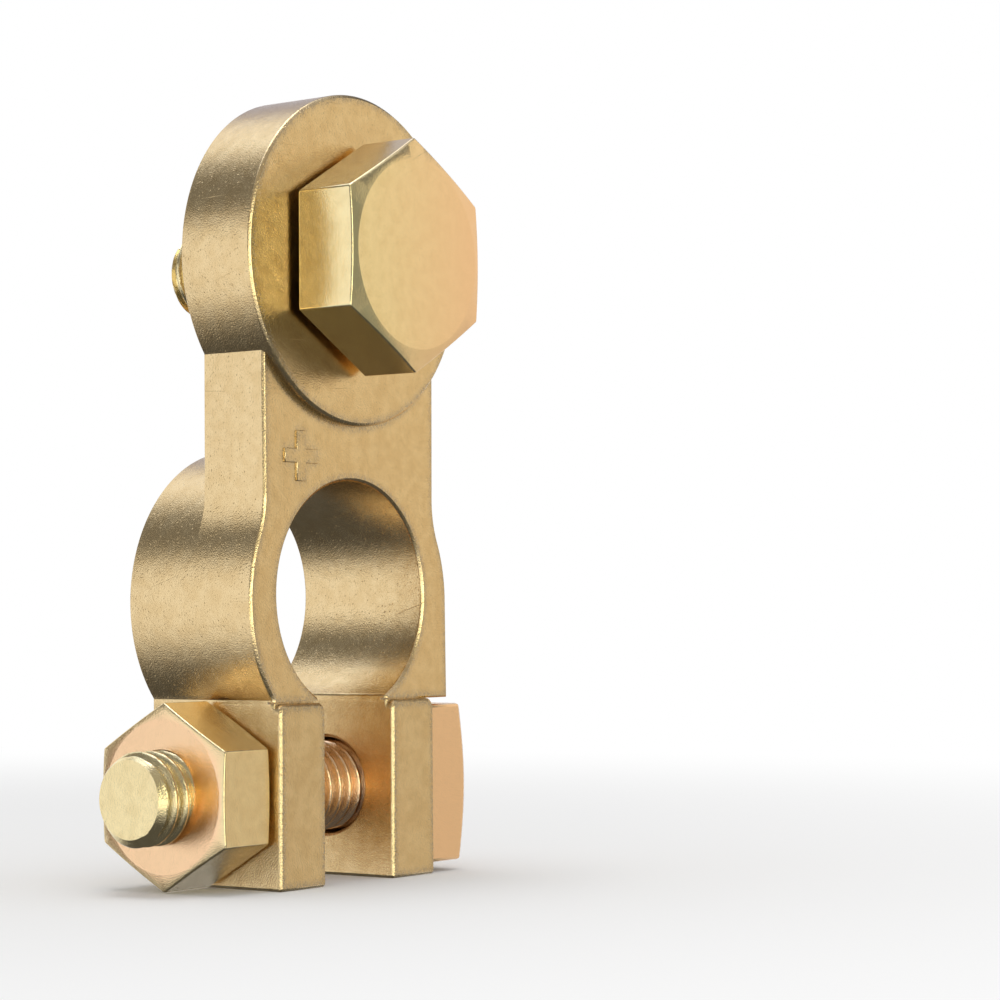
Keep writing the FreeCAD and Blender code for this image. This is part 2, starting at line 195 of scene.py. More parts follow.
# %% [markdown]
# From outlines to solids
#
# A solid is made from an outline, joined to the next one and cut by others, as a pattern maker
# glues and cuts wood. Blender's Boolean modifier does the joining and the cutting. The exact
# solver is the slower one, and it copes with faces that lie in one plane.

# %% Push an outline through a thickness
def place(across, up, along, axis):
    """A point of an outline that lies square to an axis."""
    if axis == "x":
        return along, across, up
    return across, along, up


def finish_solid(name, mesh):
    """Turn a bmesh into an object with all its faces looking outwards."""
    bmesh.ops.recalc_face_normals(mesh, faces=mesh.faces)
    data = bpy.data.meshes.new(name)
    mesh.to_mesh(data)
    mesh.free()
    made = bpy.data.objects.new(name, data)
    bpy.context.scene.collection.objects.link(made)
    return made


def solid(name, outline, start, end, axis="y"):
    """A closed solid with this outline, from start to end along the axis, in millimetres."""
    mesh = bmesh.new()
    first = [mesh.verts.new(place(a, u, start, axis)) for a, u in outline]
    last = [mesh.verts.new(place(a, u, end, axis)) for a, u in outline]
    mesh.faces.new(first)
    mesh.faces.new(reversed(last))
    for here in range(len(outline)):
        after = (here + 1) % len(outline)
        mesh.faces.new((first[after], first[here], last[here], last[after]))
    return finish_solid(name, mesh)


# %% Join and cut solids
def settle(thing):
    """Replace a thing's mesh by what its modifiers make of it."""
    bpy.context.view_layer.update()
    seen = thing.evaluated_get(bpy.context.evaluated_depsgraph_get())
    data = bpy.data.meshes.new_from_object(seen)
    thing.modifiers.clear()
    old = thing.data
    thing.data = data
    bpy.data.meshes.remove(old)


def combine(base, other, operation):
    """Join another solid to the base ("UNION"), cut it away ("DIFFERENCE") or keep what they share."""
    step = base.modifiers.new(operation.lower(), "BOOLEAN")
    step.operation = operation
    step.solver = "EXACT"
    step.object = other
    settle(base)
    bpy.data.objects.remove(other)
    return base


# %% Clean a mesh after a Boolean
WELD = 0.0005
FLAT_ANGLE = math.radians(0.3)


def count_open(mesh):
    """How many edges don't join two faces. A closed solid has none."""
    return sum(not edge.is_manifold for edge in mesh.edges)


def tidy_flats(thing):
    """Join the faces that lie in one plane, which a Boolean leaves in strips."""
    mesh = bmesh.new()
    mesh.from_mesh(thing.data)
    bmesh.ops.remove_doubles(mesh, verts=mesh.verts, dist=WELD)
    bmesh.ops.dissolve_limit(mesh, angle_limit=FLAT_ANGLE, verts=mesh.verts, edges=mesh.edges)
    open_edges = count_open(mesh)
    mesh.to_mesh(thing.data)
    mesh.free()
    print(thing.name, "has", len(thing.data.polygons), "faces and", open_edges, "open edges")


# %% [markdown]
# The casting
#
# The ring runs the full depth of the clamp. The plate in front of it carries the arm up to the
# boss, which stands a little proud, and so do the pads on the two ears. Each of these is one plain
# solid, and each reaches a little into its neighbour, because two solids that only touch don't
# join well.

# %% Join the ring, the plate and the boss
INTO_METAL = 1.0
casting = solid("clamp_casting", plate_outline, PLATE_FRONT, ARM_BACK)
combine(casting, solid("ring", ring_outline, PLATE_FRONT + INTO_METAL, RING_BACK), "UNION")
boss_bottom = arc(boss_centre, BOSS_RADIUS, HALF_TURN + NECK_ANGLE, FULL_TURN - NECK_ANGLE, SMOOTH_ARC)
boss_outline = boss_top + boss_bottom[1:-1]
combine(casting, solid("boss", boss_outline, BOSS_FRONT, PLATE_FRONT + INTO_METAL), "UNION")
print("casting so far:", len(casting.data.polygons), "faces")

# %% Add the pads on the ears
PAD_ROUNDING = 0.8
PAD_STEPS = 8
pad_top = LEDGE - PAD_ROUNDING
pad_right = [(EAR_HALF, FOOT)]
pad_right += arc((EAR_HALF - PAD_ROUNDING, pad_top), PAD_ROUNDING, 0, QUARTER_TURN, PAD_STEPS)
pad_right += arc((SLOT_HALF + PAD_ROUNDING, pad_top), PAD_ROUNDING, QUARTER_TURN, HALF_TURN, PAD_STEPS)
pad_right += [(SLOT_HALF, FOOT)]
for pad_outline in (pad_right, mirrored(pad_right)):
    combine(casting, solid("pad", pad_outline, EAR_FRONT, PLATE_FRONT + INTO_METAL), "UNION")
print("pads reach", round(-EAR_FRONT, 2), "mm in front of the bore's middle")

# %% [markdown]
# Holes and the crease
#
# The ears have a clear hole for the clamp bolt, and the boss is tapped for the cable bolt. A narrow
# crease shows where the plate ends above the ears. It could be a dark line in the finish, but a
# real groove catches the light on its lower lip and looks right from every side.

# %% Cut the holes and the crease
EAR_HOLE = 4.05
TAPPED_HOLE = 3.8
CREASE_HEIGHT = 0.17
CREASE_DEPTH = 0.6
CREASE_PAST_EAR = 0.05
CREASE_END = EAR_HALF + CREASE_PAST_EAR
CREASE_TOP = LEDGE + CREASE_HEIGHT
ear_hole = arc((0, CLAMP_AXIS), EAR_HOLE, 0, FULL_TURN, SMOOTH_ARC)[:-1]
combine(casting, solid("ear_hole", ear_hole, -RING_RADIUS, RING_RADIUS, "x"), "DIFFERENCE")
tapped = arc(boss_centre, TAPPED_HOLE, 0, FULL_TURN, SMOOTH_ARC)[:-1]
combine(casting, solid("tapped_hole", tapped, -RING_RADIUS, RING_RADIUS), "DIFFERENCE")
crease = [(-RING_RADIUS, LEDGE), (CREASE_END, LEDGE), (CREASE_END, CREASE_TOP), (-RING_RADIUS, CREASE_TOP)]
combine(casting, solid("crease", crease, EAR_FRONT, PLATE_FRONT + CREASE_DEPTH), "DIFFERENCE")
tidy_flats(casting)

# %% [markdown]
# Rounded edges
#
# No cast edge is sharp: the mould, the tumbling and the handling all round it, and that thin
# rounded strip is what catches the light. Shading alone could fake it, but the outline would stay
# sharp, so the Bevel modifier makes it. Each edge carries a weight: full on outside corners, and
# none in hollows. A few edges have no room for a full bevel. Where two bevels cross, the face
# between them folds over itself and can close a hole, so those edges get a half or nothing, and the
# arm's back edge fades out where it runs into the ring.

# %% Weigh the edges and bevel them
SLIVER = 0.002


def held(value):
    """The value, held between nothing and one."""
    return max(0.0, min(1.0, value))


def weigh_edges(thing, sharp_angle, weight_of):
    """Give every outside corner its own bevel weight."""
    mesh = bmesh.new()
    mesh.from_mesh(thing.data)
    weights = mesh.edges.layers.float.new("bevel_weight_edge")
    count = 0
    for edge in mesh.edges:
        if len(edge.link_faces) != 2 or edge.calc_face_angle_signed() < sharp_angle:
            continue
        middle = (edge.verts[0].co + edge.verts[1].co) / 2
        edge[weights] = weight_of(middle)
        count += edge[weights] > 0
    mesh.to_mesh(thing.data)
    mesh.free()
    print(thing.name, "has", count, "edges to round")


def round_edges(thing, width, segments, profile=0.5):
    """Round the weighed edges. A profile of a half is a round, and less is nearer to a flat bevel."""
    bevel = thing.modifiers.new("rounded_edges", "BEVEL")
    bevel.limit_method = "WEIGHT"
    bevel.width = width
    bevel.segments = segments
    bevel.profile = profile
    bevel.use_clamp_overlap = False
    settle(thing)
    mesh = bmesh.new()
    mesh.from_mesh(thing.data)
    bmesh.ops.remove_doubles(mesh, verts=mesh.verts, dist=SLIVER)
    bmesh.ops.dissolve_degenerate(mesh, edges=mesh.edges, dist=SLIVER)
    open_edges = count_open(mesh)
    mesh.to_mesh(thing.data)
    mesh.free()
    print(thing.name, "rounded:", len(thing.data.polygons), "faces and", open_edges, "open edges")


# %% How strongly each edge of the casting is rounded
NEAR = 0.01
CLEAR_OF_EDGE = 0.1
HALF_WEIGHT = 0.5
SIDE_BAND = 0.5
POINT_MARGIN = 1.0
FADE_LENGTH = 2.5
BORE_END = -math.sqrt(BORE_RADIUS ** 2 - SLOT_HALF ** 2)
BLEND_START = RING_CENTRE[1] + RING_RADIUS * math.sin(math.radians(BLEND_ANGLE))


def near(value, level):
    """Whether two places are the same, apart from rounding."""
    return abs(value - level) < NEAR


def casting_weight(middle):
    """The weight of an edge, from the edge's middle point.

    Nothing in the crease over the ears, a half along the ledge and at the bore's two ends by the
    slot, a fade on the arm's back where it runs into the ring, and all of it on the other edges.
    """
    past_ear = middle.x > CREASE_END + CLEAR_OF_EDGE
    in_height = abs(middle.z - LEDGE - CREASE_HEIGHT / 2) < CREASE_HEIGHT / 2 + NEAR
    in_depth = EAR_FRONT + CLEAR_OF_EDGE < middle.y < PLATE_FRONT + CREASE_DEPTH + NEAR
    if in_height and in_depth and not past_ear:
        return 0.0
    at_ledge = near(middle.z, LEDGE) and past_ear
    at_bore_end = near(middle.z, BORE_END) and near(abs(middle.x), SLOT_HALF)
    if at_ledge or at_bore_end:
        return HALF_WEIGHT
    below_neck = middle.z < BLEND_HEIGHT + FADE_LENGTH and abs(middle.x) > ARM_HALF - SIDE_BAND
    if not (near(middle.y, ARM_BACK) and below_neck):
        return 1.0
    return held((middle.z - BLEND_START - POINT_MARGIN) / FADE_LENGTH)


# %% Round the casting
SHARP = math.radians(28)
CAST_EDGE = 0.26
CAST_SEGMENTS = 3
CAST_PROFILE = 0.30
weigh_edges(casting, SHARP, casting_weight)
round_edges(casting, CAST_EDGE, CAST_SEGMENTS, CAST_PROFILE)

# %% [markdown]
# The plus sign
#
# The positive pole's clamp carries a small raised plus, cut into the mould. It is joined to the
# casting after the rounding, because its edges are far finer. A bump in the finish could fake it,
# but only a real shape keeps its bright left edges when the view moves.

# %% Raise the plus sign
PLUS_CENTRE = (-6.55, 11.18)
PLUS_REACH = 2.05
PLUS_HALF_BAR = 0.58
PLUS_HEIGHT = 0.16
PLUS_ROOT = 0.4
PLUS_EDGE = 0.05
PLUS_SEGMENTS = 1


def plus_outline(centre, reach, half_bar):
    """A plus, corner by corner: each quarter turn adds the same three corners."""
    quarter = [(reach, -half_bar), (reach, half_bar), (half_bar, half_bar)]
    points = []
    for turn in range(4):
        angle = math.radians(QUARTER_TURN * turn)
        for across, up in quarter:
            points.append((centre[0] + across * math.cos(angle) - up * math.sin(angle),
                           centre[1] + across * math.sin(angle) + up * math.cos(angle)))
    return points


plus = solid("plus", plus_outline(PLUS_CENTRE, PLUS_REACH, PLUS_HALF_BAR),
             PLATE_FRONT - PLUS_HEIGHT, PLATE_FRONT + PLUS_ROOT)
weigh_edges(plus, SHARP, lambda middle: 1.0)
round_edges(plus, PLUS_EDGE, PLUS_SEGMENTS)
combine(casting, plus, "UNION")

# %% [markdown]
# Screw threads
#
# A thread is one groove that winds round the rod. The surface below is a grid: its rows step along
# the rod and its columns go round. The radius at a grid point depends only on how far along the
# pitch it is, once the turn has been taken off, and that is all that a helix is. At the end the rod
# is turned to a cone, so there the radius is never more than the cone's. Blender's Screw modifier
# could sweep a groove as well, but it leaves the rod's two ends open.

# %% The thread's section
PITCH = 1.25
CREST_RADIUS = 3.75
THREAD_DEPTH = 0.66
CREST_SHARE = 0.16
ROOT_SHARE = 0.16
FLANK_EASE = 0.5


def thread_radius(along, turn, start):
    """The rod's radius at a distance along it and a share of a turn round it."""
    place_in_pitch = (along / PITCH - turn - start) % 1.0
    from_crest = abs(place_in_pitch - 0.5) * 2
    slope = held((from_crest - CREST_SHARE) / (1 - CREST_SHARE - ROOT_SHARE))
    eased = slope * slope * (3 - 2 * slope)
    return CREST_RADIUS - THREAD_DEPTH * ((1 - FLANK_EASE) * slope + FLANK_EASE * eased)


print("crest", CREST_RADIUS, "root", round(CREST_RADIUS - THREAD_DEPTH, 2), "mm")

# %% Build a threaded rod
COLUMNS = 72
ROWS_PER_PITCH = 16
ROD_POINT = 0.6


def ring_point(mesh, along, radius, angle):
    """A vertex on a ring round the X axis."""
    return mesh.verts.new((along, radius * math.cos(angle), radius * math.sin(angle)))


def skin_rings(name, mesh, rings):
    """Join rings of vertices by faces, close both ends, and make the solid."""
    for lower, upper in zip(rings, rings[1:]):
        for step in range(len(lower)):
            after = (step + 1) % len(lower)
            mesh.faces.new((lower[step], lower[after], upper[after], upper[step]))
    mesh.faces.new(rings[0])
    mesh.faces.new(rings[-1])
    return finish_solid(name, mesh)


def threaded_rod(name, length, start, extra=0.0, point=ROD_POINT):
    """A rod along +X from 0. Its first half pitch is plain, and its end is turned to a cone."""
    mesh = bmesh.new()
    rows = int(round(length / PITCH * ROWS_PER_PITCH))
    plain = CREST_RADIUS + extra
    rings = []
    for row in range(rows + 1):
        along = length * row / rows
        run_out = held((along - PITCH) / PITCH + 0.5)
        ring = []
        for column in range(COLUMNS):
            turn = column / COLUMNS
            radius = thread_radius(along, turn, start) + extra
            radius = plain + (radius - CREST_RADIUS - extra) * run_out
            if point:
                radius = min(radius, CREST_RADIUS - point + (length - along))
            ring.append(ring_point(mesh, along, radius, math.tau * turn))
        rings.append(ring)
    return skin_rings(name, mesh, rings)


print("each turn of a thread has", ROWS_PER_PITCH * COLUMNS, "faces")

# %% [markdown]
# Heads and the nut
#
# A hexagon head is a piece of hexagon bar whose end is turned in a lathe. The turning tool leaves a
# round flat land and takes the six corners off in a cone, and where the cone meets the flats it
# draws the curved edges that everyone knows. So the head is what the bar and the turned cone share,
# and not a shape drawn point by point. The nut is turned at both ends, and the square head is the
# same with four sides.

# %% Bars and turned shapes
TURN_STEPS = 144


def turned(name, profile):
    """A solid of revolution about the X axis. The profile is (along, radius) from end to end."""
    mesh = bmesh.new()
    rings = []
    for along, radius in profile:
        rings.append([ring_point(mesh, along, radius, math.tau * step / TURN_STEPS)
                      for step in range(TURN_STEPS)])
    return skin_rings(name, mesh, rings)


def bar_outline(sides, flats, first_corner):
    """A regular bar's outline about the origin, from its size across flats."""
    corner = flats / 2 / math.cos(math.pi / sides)
    points = []
    for side in range(sides):
        angle = math.radians(first_corner) + math.tau * side / sides
        points.append((corner * math.cos(angle), corner * math.sin(angle)))
    return points


def head(name, sides, flats, first_corner, thickness, land, angle, both_ends=False):
    """A bar's end from X 0 to its thickness, turned to a land and a cone at its outer end."""
    reach = flats
    slope = math.tan(math.radians(angle))
    fall = (reach - land) * slope
    outer = [(thickness - fall, reach), (thickness, land)]
    inner = [(0.0, land), (fall, reach)] if both_ends else [(0.0, reach)]
    made = solid(name, bar_outline(sides, flats, first_corner), 0.0, thickness, "x")
    return combine(made, turned("turning", inner + outer), "INTERSECT")


print("turned shapes have", TURN_STEPS, "steps round")

# %% Make the two heads and the nut
HEXAGON = 6
SQUARE = 4
CORNER_ON_TOP = 90.0
FLAT_ON_TOP = 45.0
HEX_CONE = 9.0
SQUARE_CONE = 15.0
HEAD_SEGMENTS = 2
HEAD_EDGE = 0.14
SQUARE_EDGE = 0.3


def soften_head(thing, width):
    """Round all the edges of a head by a little."""
    tidy_flats(thing)
    weigh_edges(thing, SHARP, lambda middle: 1.0)
    round_edges(thing, width, HEAD_SEGMENTS)


CABLE_HEAD = 5.65
CABLE_LAND = 7.7
cable_flats = cable_high.x - cable_low.x
hexagon_head = head("hexagon_head", HEXAGON, cable_flats, CORNER_ON_TOP, CABLE_HEAD, CABLE_LAND, HEX_CONE)
soften_head(hexagon_head, HEAD_EDGE)

SQUARE_HEAD = clamp_high.x - EAR_HALF
SQUARE_LAND = 6.1
square_side = clamp_high.y - clamp_low.y
square_head = head("square_head", SQUARE, square_side, FLAT_ON_TOP, SQUARE_HEAD, SQUARE_LAND, SQUARE_CONE)
soften_head(square_head, SQUARE_EDGE)

NUT_HEIGHT = nut_high.x - nut_low.x
NUT_LAND = 6.05
nut_flats = nut_high.y - nut_low.y
nut = head("hexagon_nut", HEXAGON, nut_flats, CORNER_ON_TOP, NUT_HEIGHT, NUT_LAND, HEX_CONE, both_ends=True)
soften_head(nut, HEAD_EDGE)

# %% [markdown]
# Bolts put together
#
# Every rod and head was made along the X axis, where it is easy to draw. Now each is turned to the
# way it faces on the clamp and moved to its seat. Both threads are right-handed, and the start of
# each says where round the rod its groove begins. The nut's thread is cut with the same rod, made a
# little bigger so that the two don't touch.

# %% Lay the rods and heads in place
CABLE_SEAT = cable_low.y + CABLE_HEAD
CABLE_THREAD_START = 0.3
CLAMP_THREAD_START = 0.97
cable_seat = (0, CABLE_SEAT, BOSS_HEIGHT)
clamp_seat = (EAR_HALF, 0, CLAMP_AXIS)
clamp_rod_length = EAR_HALF - clamp_low.x


def turn_to(thing, facing, foot):
    """Lay a thing that was made along +X along another level direction, with its start at a point."""
    turn = Matrix.Rotation(math.atan2(facing[1], facing[0]), 4, "Z")
    thing.data.transform(Matrix.Translation(Vector(foot)) @ turn)


cable_rod = threaded_rod("cable_rod", cable_high.y - CABLE_SEAT, CABLE_THREAD_START)
turn_to(cable_rod, (0, 1, 0), cable_seat)
turn_to(hexagon_head, (0, -1, 0), cable_seat)
clamp_rod = threaded_rod("clamp_rod", clamp_rod_length, CLAMP_THREAD_START)
turn_to(clamp_rod, (-1, 0, 0), clamp_seat)
turn_to(square_head, (1, 0, 0), clamp_seat)
turn_to(nut, (-1, 0, 0), (nut_high.x, 0, CLAMP_AXIS))
for thing in (hexagon_head, nut):
    corners = [vertex.co for vertex in thing.data.vertices]
    print(thing.name, "y", round(min(c.y for c in corners), 2), round(max(c.y for c in corners), 2))

# %% Join each rod to its head, and cut the nut's thread
NUT_CLEARANCE = 0.06
cable_bolt = combine(hexagon_head, cable_rod, "UNION")
clamp_bolt = combine(square_head, clamp_rod, "UNION")
nut_thread = threaded_rod("nut_thread", clamp_rod_length, CLAMP_THREAD_START,
                          extra=NUT_CLEARANCE, point=0.0)
turn_to(nut_thread, (-1, 0, 0), clamp_seat)
combine(nut, nut_thread, "DIFFERENCE")
for thing in (cable_bolt, clamp_bolt, nut):
    print(thing.name, "has", len(thing.data.polygons), "faces")

# %% [markdown]
# Brass
#
# Polished brass mirrors its surroundings, tinted yellow. A casting's skin is finely grained and
# carries pits and scratches, so each grain mirrors another spot of the room and the surface
# sparkles where light and dark meet. A flat colour would look like plastic. So the finish is a
# metal shader of low roughness with a small, busy bump, and it is put together from a few patterns.
# All of them are worked out in space, so the piece needs no unwrapping.

# %% A short way to add nodes
def put(tree, made, socket, value):
    """Link a value that another node gives, or set it."""
    if isinstance(value, bpy.types.NodeSocket):
        tree.links.new(value, made.inputs[socket])
    else:
        made.inputs[socket].default_value = value


def add_node(tree, kind, values=None, **settings):
    """Add a node, set its options, and set or link its inputs."""
    made = tree.nodes.new(kind)
    for option, value in settings.items():
        setattr(made, option, value)
    for socket, value in (values or {}).items():
        put(tree, made, socket, value)
    return made


def maths(tree, operation, first, second=0.0):
    """One step of arithmetic."""
    return add_node(tree, "ShaderNodeMath", {0: first, 1: second}, operation=operation).outputs[0]


def vectors(tree, operation, first, second=(0.0, 0.0, 0.0), output="Vector"):
    """One step of arithmetic with places or directions."""
    made = add_node(tree, "ShaderNodeVectorMath", {0: first, 1: second}, operation=operation)
    return made.outputs[output]


def z_of(tree, places):
    """The Z of a place or a direction."""
    return add_node(tree, "ShaderNodeSeparateXYZ", {0: places}).outputs["Z"]


# %% Mixing, stretching and clouds
FIRST_COLOUR = 6
SECOND_COLOUR = 7
MIXED_COLOUR = 2


def with_alpha(colour):
    """A colour of three numbers as the four that a socket wants. A linked one stays as it is."""
    return colour if isinstance(colour, bpy.types.NodeSocket) else (*colour, 1.0)


def blend(tree, share, first, second):
    """Mix two colours by a share."""
    values = {"Factor": share, FIRST_COLOUR: with_alpha(first), SECOND_COLOUR: with_alpha(second)}
    return add_node(tree, "ShaderNodeMix", values, data_type="RGBA").outputs[MIXED_COLOUR]


def spread(tree, value, low, high, out_low=0.0, out_high=1.0):
    """Stretch a range of values to another, and hold the rest at its ends."""
    made = add_node(tree, "ShaderNodeMapRange", {"Value": value, "From Min": low, "From Max": high,
                                                 "To Min": out_low, "To Max": out_high})
    return made.outputs["Result"]


def clouds(tree, places, scale, detail, roughness=0.5):
    """A cloudy pattern. The scale is about the number of clouds to a millimetre."""
    made = add_node(tree, "ShaderNodeTexNoise", {"Vector": places, "Scale": scale, "Detail": detail,
                                                 "Roughness": roughness})
    return made.outputs["Fac"]


# %% [markdown]
# Scratches
#
# A scratch is a thin straight mark. The Voronoi texture cuts space into cells, and stretching it two
# ways makes the cells flat, like stacked plates. A thin sheet in the middle of a plate meets the
# surface in a line, the line fades before the cell ends, and a throw of dice for each cell leaves
# two thirds of them out. A noise pattern that is only stretched gives brushed metal instead, with
# marks everywhere.

# %% Draw scratches
SCRATCH_CELLS = 0.9
SCRATCH_HALF_WIDTH = 0.03
SCRATCH_SHARE = 0.35
FADES_FROM = 0.15
FADES_TO = 0.40
SCRATCH_TURNS = [((0.03, 0.05, 0.1), 5.0), ((-0.06, 0.02, 1.5), 7.0), ((0.30, 0.45, 0.8), 8.0)]


def scratches(tree, places, turn, length):
    """Thin straight marks in one direction, of about this length in millimetres."""
    turned_places = add_node(tree, "ShaderNodeVectorRotate", {"Vector": places, "Rotation": turn},
                             rotation_type="EULER_XYZ").outputs[0]
    stretched = vectors(tree, "MULTIPLY", turned_places, (1 / length, 1 / length, 1.0))
    cells = add_node(tree, "ShaderNodeTexVoronoi", {"Vector": stretched, "Scale": SCRATCH_CELLS})
    offset = vectors(tree, "SUBTRACT", stretched, cells.outputs["Position"])
    aside = maths(tree, "ABSOLUTE", z_of(tree, offset))
    along = vectors(tree, "LENGTH", offset, output="Value")
    line = spread(tree, aside, 0.0, SCRATCH_HALF_WIDTH, 1.0, 0.0)
    ends = spread(tree, along, FADES_FROM, FADES_TO, 1.0, 0.0)
    dice = add_node(tree, "ShaderNodeSeparateColor", {0: cells.outputs["Color"]}).outputs[0]
    chosen = spread(tree, dice, 1 - SCRATCH_SHARE, 1.0)
    return maths(tree, "MULTIPLY", maths(tree, "MULTIPLY", line, ends), chosen)


def all_scratches(tree, places):
    """Scratches in a few directions, laid over each other."""
    marks = None
    for turn, length in SCRATCH_TURNS:
        more = scratches(tree, places, turn, length)
        marks = more if marks is None else maths(tree, "MAXIMUM", marks, more)
    return marks


print("scratches run in", len(SCRATCH_TURNS), "directions")

# %% [markdown]
# Pits
#
# Gas in the melt leaves tiny round pits in a casting's skin. They are the middles of the cells of a
# fine Voronoi texture, sunk by their distance to the middle, in about half of the cells. Cut into
# the mesh they would need a great many faces, and at this size they would look the same.

# %% Draw pits
PITS_PER_MM = 3.6
PIT_RADIUS = 0.30
FEWEST_PITS = 0.4
MOST_PITS = 0.6


def pits(tree, places):
    """Tiny round pits, in about half of the cells of a fine pattern."""
    cells = add_node(tree, "ShaderNodeTexVoronoi", {"Vector": places, "Scale": PITS_PER_MM})
    depth = spread(tree, cells.outputs["Distance"], 0.0, PIT_RADIUS, 1.0, 0.0)
    dice = add_node(tree, "ShaderNodeSeparateColor", {0: cells.outputs["Color"]}).outputs[1]
    chosen = spread(tree, dice, FEWEST_PITS, MOST_PITS)
    return maths(tree, "MULTIPLY", depth, chosen)


print("a pit is at most", round(2 * PIT_RADIUS / PITS_PER_MM, 2), "mm across")

# %% [markdown]
# Worn and shaded edges
#
# Along the rounded front edges the metal is duller, in a ragged band about a millimetre wide,
# where a polishing wheel slips off the edge. The band is also painted grey, and that grey is painted
# shade: the dark reflection that a face rounding off into its edge would show. Painting that by hand
# would take a map. The Bevel node gives the normal that the surface would have if its edges were
# rounder, so where that differs from the real one, an edge is near. It is used as a mask and not as a
# normal, because as a normal it blurs every reflection.

# %% Find the worn and shaded edges
EDGE_BAND_REACH = 1.1
BEVEL_SAMPLES = 6
EDGE_AGREES = 0.975
FLAT_AGREES = 0.9999
FACES_ASIDE = 0.985
FACES_FRONT = 0.995
RAG_SCALE = 3.2
RAG_DETAIL = 2.0
RAG_FROM = 0.40
RAG_TO = 0.60
RAG_LEAST = 0.35


def near_edge(tree, facing):
    """How near an edge is, on the surfaces that face the given way."""
    real_normal = add_node(tree, "ShaderNodeNewGeometry").outputs["True Normal"]
    rounder_normal = add_node(tree, "ShaderNodeBevel", {"Radius": EDGE_BAND_REACH * MM},
                              samples=BEVEL_SAMPLES).outputs[0]
    agree = vectors(tree, "DOT_PRODUCT", rounder_normal, real_normal, "Value")
    faces = vectors(tree, "DOT_PRODUCT", real_normal, facing, "Value")
    edge = spread(tree, agree, EDGE_AGREES, FLAT_AGREES, 1.0, 0.0)
    front = spread(tree, faces, FACES_ASIDE, FACES_FRONT)
    return maths(tree, "MULTIPLY", edge, front)


def worn_and_shaded_band(tree, places):
    """The worn edges of the front and their painted shade, with a ragged rim."""
    rag = spread(tree, clouds(tree, places, RAG_SCALE, RAG_DETAIL), RAG_FROM, RAG_TO, RAG_LEAST, 1.0)
    return maths(tree, "MULTIPLY", near_edge(tree, (0, -1, 0)), rag)


print("worn bands are", EDGE_BAND_REACH, "mm wide")

# %% [markdown]
# The whole finish
#
# The surface's height is the fine grain, less the pits and the scratches, plus slow waves. The
# colour swings between two brasses along the same waves and darkens in the scratches. Below the
# ledge the mould's skin was left rougher, so the grain is deeper there. The fasteners are turned
# from bar: their brass is paler and smoother. Their rosy tint is partly their own tone and partly a
# painted reflection of the warm metal beside them. That share is stored at the vertices of each
# piece, because it follows the piece and not the room.

# %% The height of the skin
FINE_SCALE = 8.0
FINE_DETAIL = 2.0
FINE_ROUGHNESS = 0.65
WAVE_SCALE = 0.9
WAVE_DETAIL = 3.0
WAVE_HEIGHT = 0.020
ROUGHER_BELOW = 1.8
SKIN_CHANGE = 0.2


def skin_normal(tree, places, fine, waves, marks, grain, scratch_depth, pit_depth):
    """The bump of grain, waves, pits and scratches. All heights are in millimetres."""
    up = z_of(tree, places)
    depth = spread(tree, up, LEDGE - SKIN_CHANGE, LEDGE, grain * ROUGHER_BELOW, grain)
    height = maths(tree, "MULTIPLY", fine, depth)
    height = maths(tree, "SUBTRACT", height, maths(tree, "MULTIPLY", pits(tree, places), pit_depth))
    height = maths(tree, "ADD", height, maths(tree, "MULTIPLY", waves, WAVE_HEIGHT))
    height = maths(tree, "SUBTRACT", height, maths(tree, "MULTIPLY", marks, scratch_depth))
    bump = add_node(tree, "ShaderNodeBump", {"Height": height, "Strength": 1.0, "Distance": MM})
    return bump.outputs["Normal"]


print("grain is", round(1 / FINE_SCALE, 3), "mm across")

# %% The brass itself
TONE_FROM = 0.35
TONE_TO = 0.65
DEEP_SHARE = 0.35
MARK_SHARE = 0.2
GRAIN_FROM = 0.3
GRAIN_TO = 0.7
ROUGHNESS_SPREAD = 0.05
# How much painted shade greys the worn front edges.
EDGE_SHADE_SHARE = 0.75
WORN_ROUGHNESS = 0.12


def brass(name, colour, deep_colour, roughness, grain, scratch_depth, pit_depth, rosy=None, edge_shade=None):
    """Grained, lightly scratched brass, with painted edge shade. Sizes inside are in millimetres."""
    material = bpy.data.materials.new(name)
    material.use_nodes = True
    tree = material.node_tree
    shader = tree.nodes["Principled BSDF"]
    put(tree, shader, "Metallic", 1.0)
    places = add_node(tree, "ShaderNodeTexCoord").outputs["Object"]
    places = add_node(tree, "ShaderNodeVectorMath", {0: places, "Scale": 1 / MM},
                      operation="SCALE").outputs[0]
    fine = clouds(tree, places, FINE_SCALE, FINE_DETAIL, FINE_ROUGHNESS)
    waves = clouds(tree, places, WAVE_SCALE, WAVE_DETAIL)
    marks = all_scratches(tree, places)
    normal = skin_normal(tree, places, fine, waves, marks, grain, scratch_depth, pit_depth)
    put(tree, shader, "Normal", normal)

    tone = spread(tree, waves, TONE_FROM, TONE_TO)
    base = blend(tree, maths(tree, "MULTIPLY", tone, DEEP_SHARE), colour, deep_colour)
    if rosy:
        share = add_node(tree, "ShaderNodeAttribute", attribute_name="rosy").outputs["Fac"]
        base = blend(tree, share, base, rosy)
    base = blend(tree, maths(tree, "MULTIPLY", marks, MARK_SHARE), base, deep_colour)
    rough = spread(tree, fine, GRAIN_FROM, GRAIN_TO,
                   roughness - ROUGHNESS_SPREAD, roughness + ROUGHNESS_SPREAD)
    if edge_shade:
        band = worn_and_shaded_band(tree, places)
        # The grey along the band is painted shade; the extra roughness is the wear.
        base = blend(tree, maths(tree, "MULTIPLY", band, EDGE_SHADE_SHARE), base, edge_shade)
        rough = maths(tree, "ADD", rough, maths(tree, "MULTIPLY", band, WORN_ROUGHNESS))
    put(tree, shader, "Base Color", base)
    put(tree, shader, "Roughness", rough)
    return material
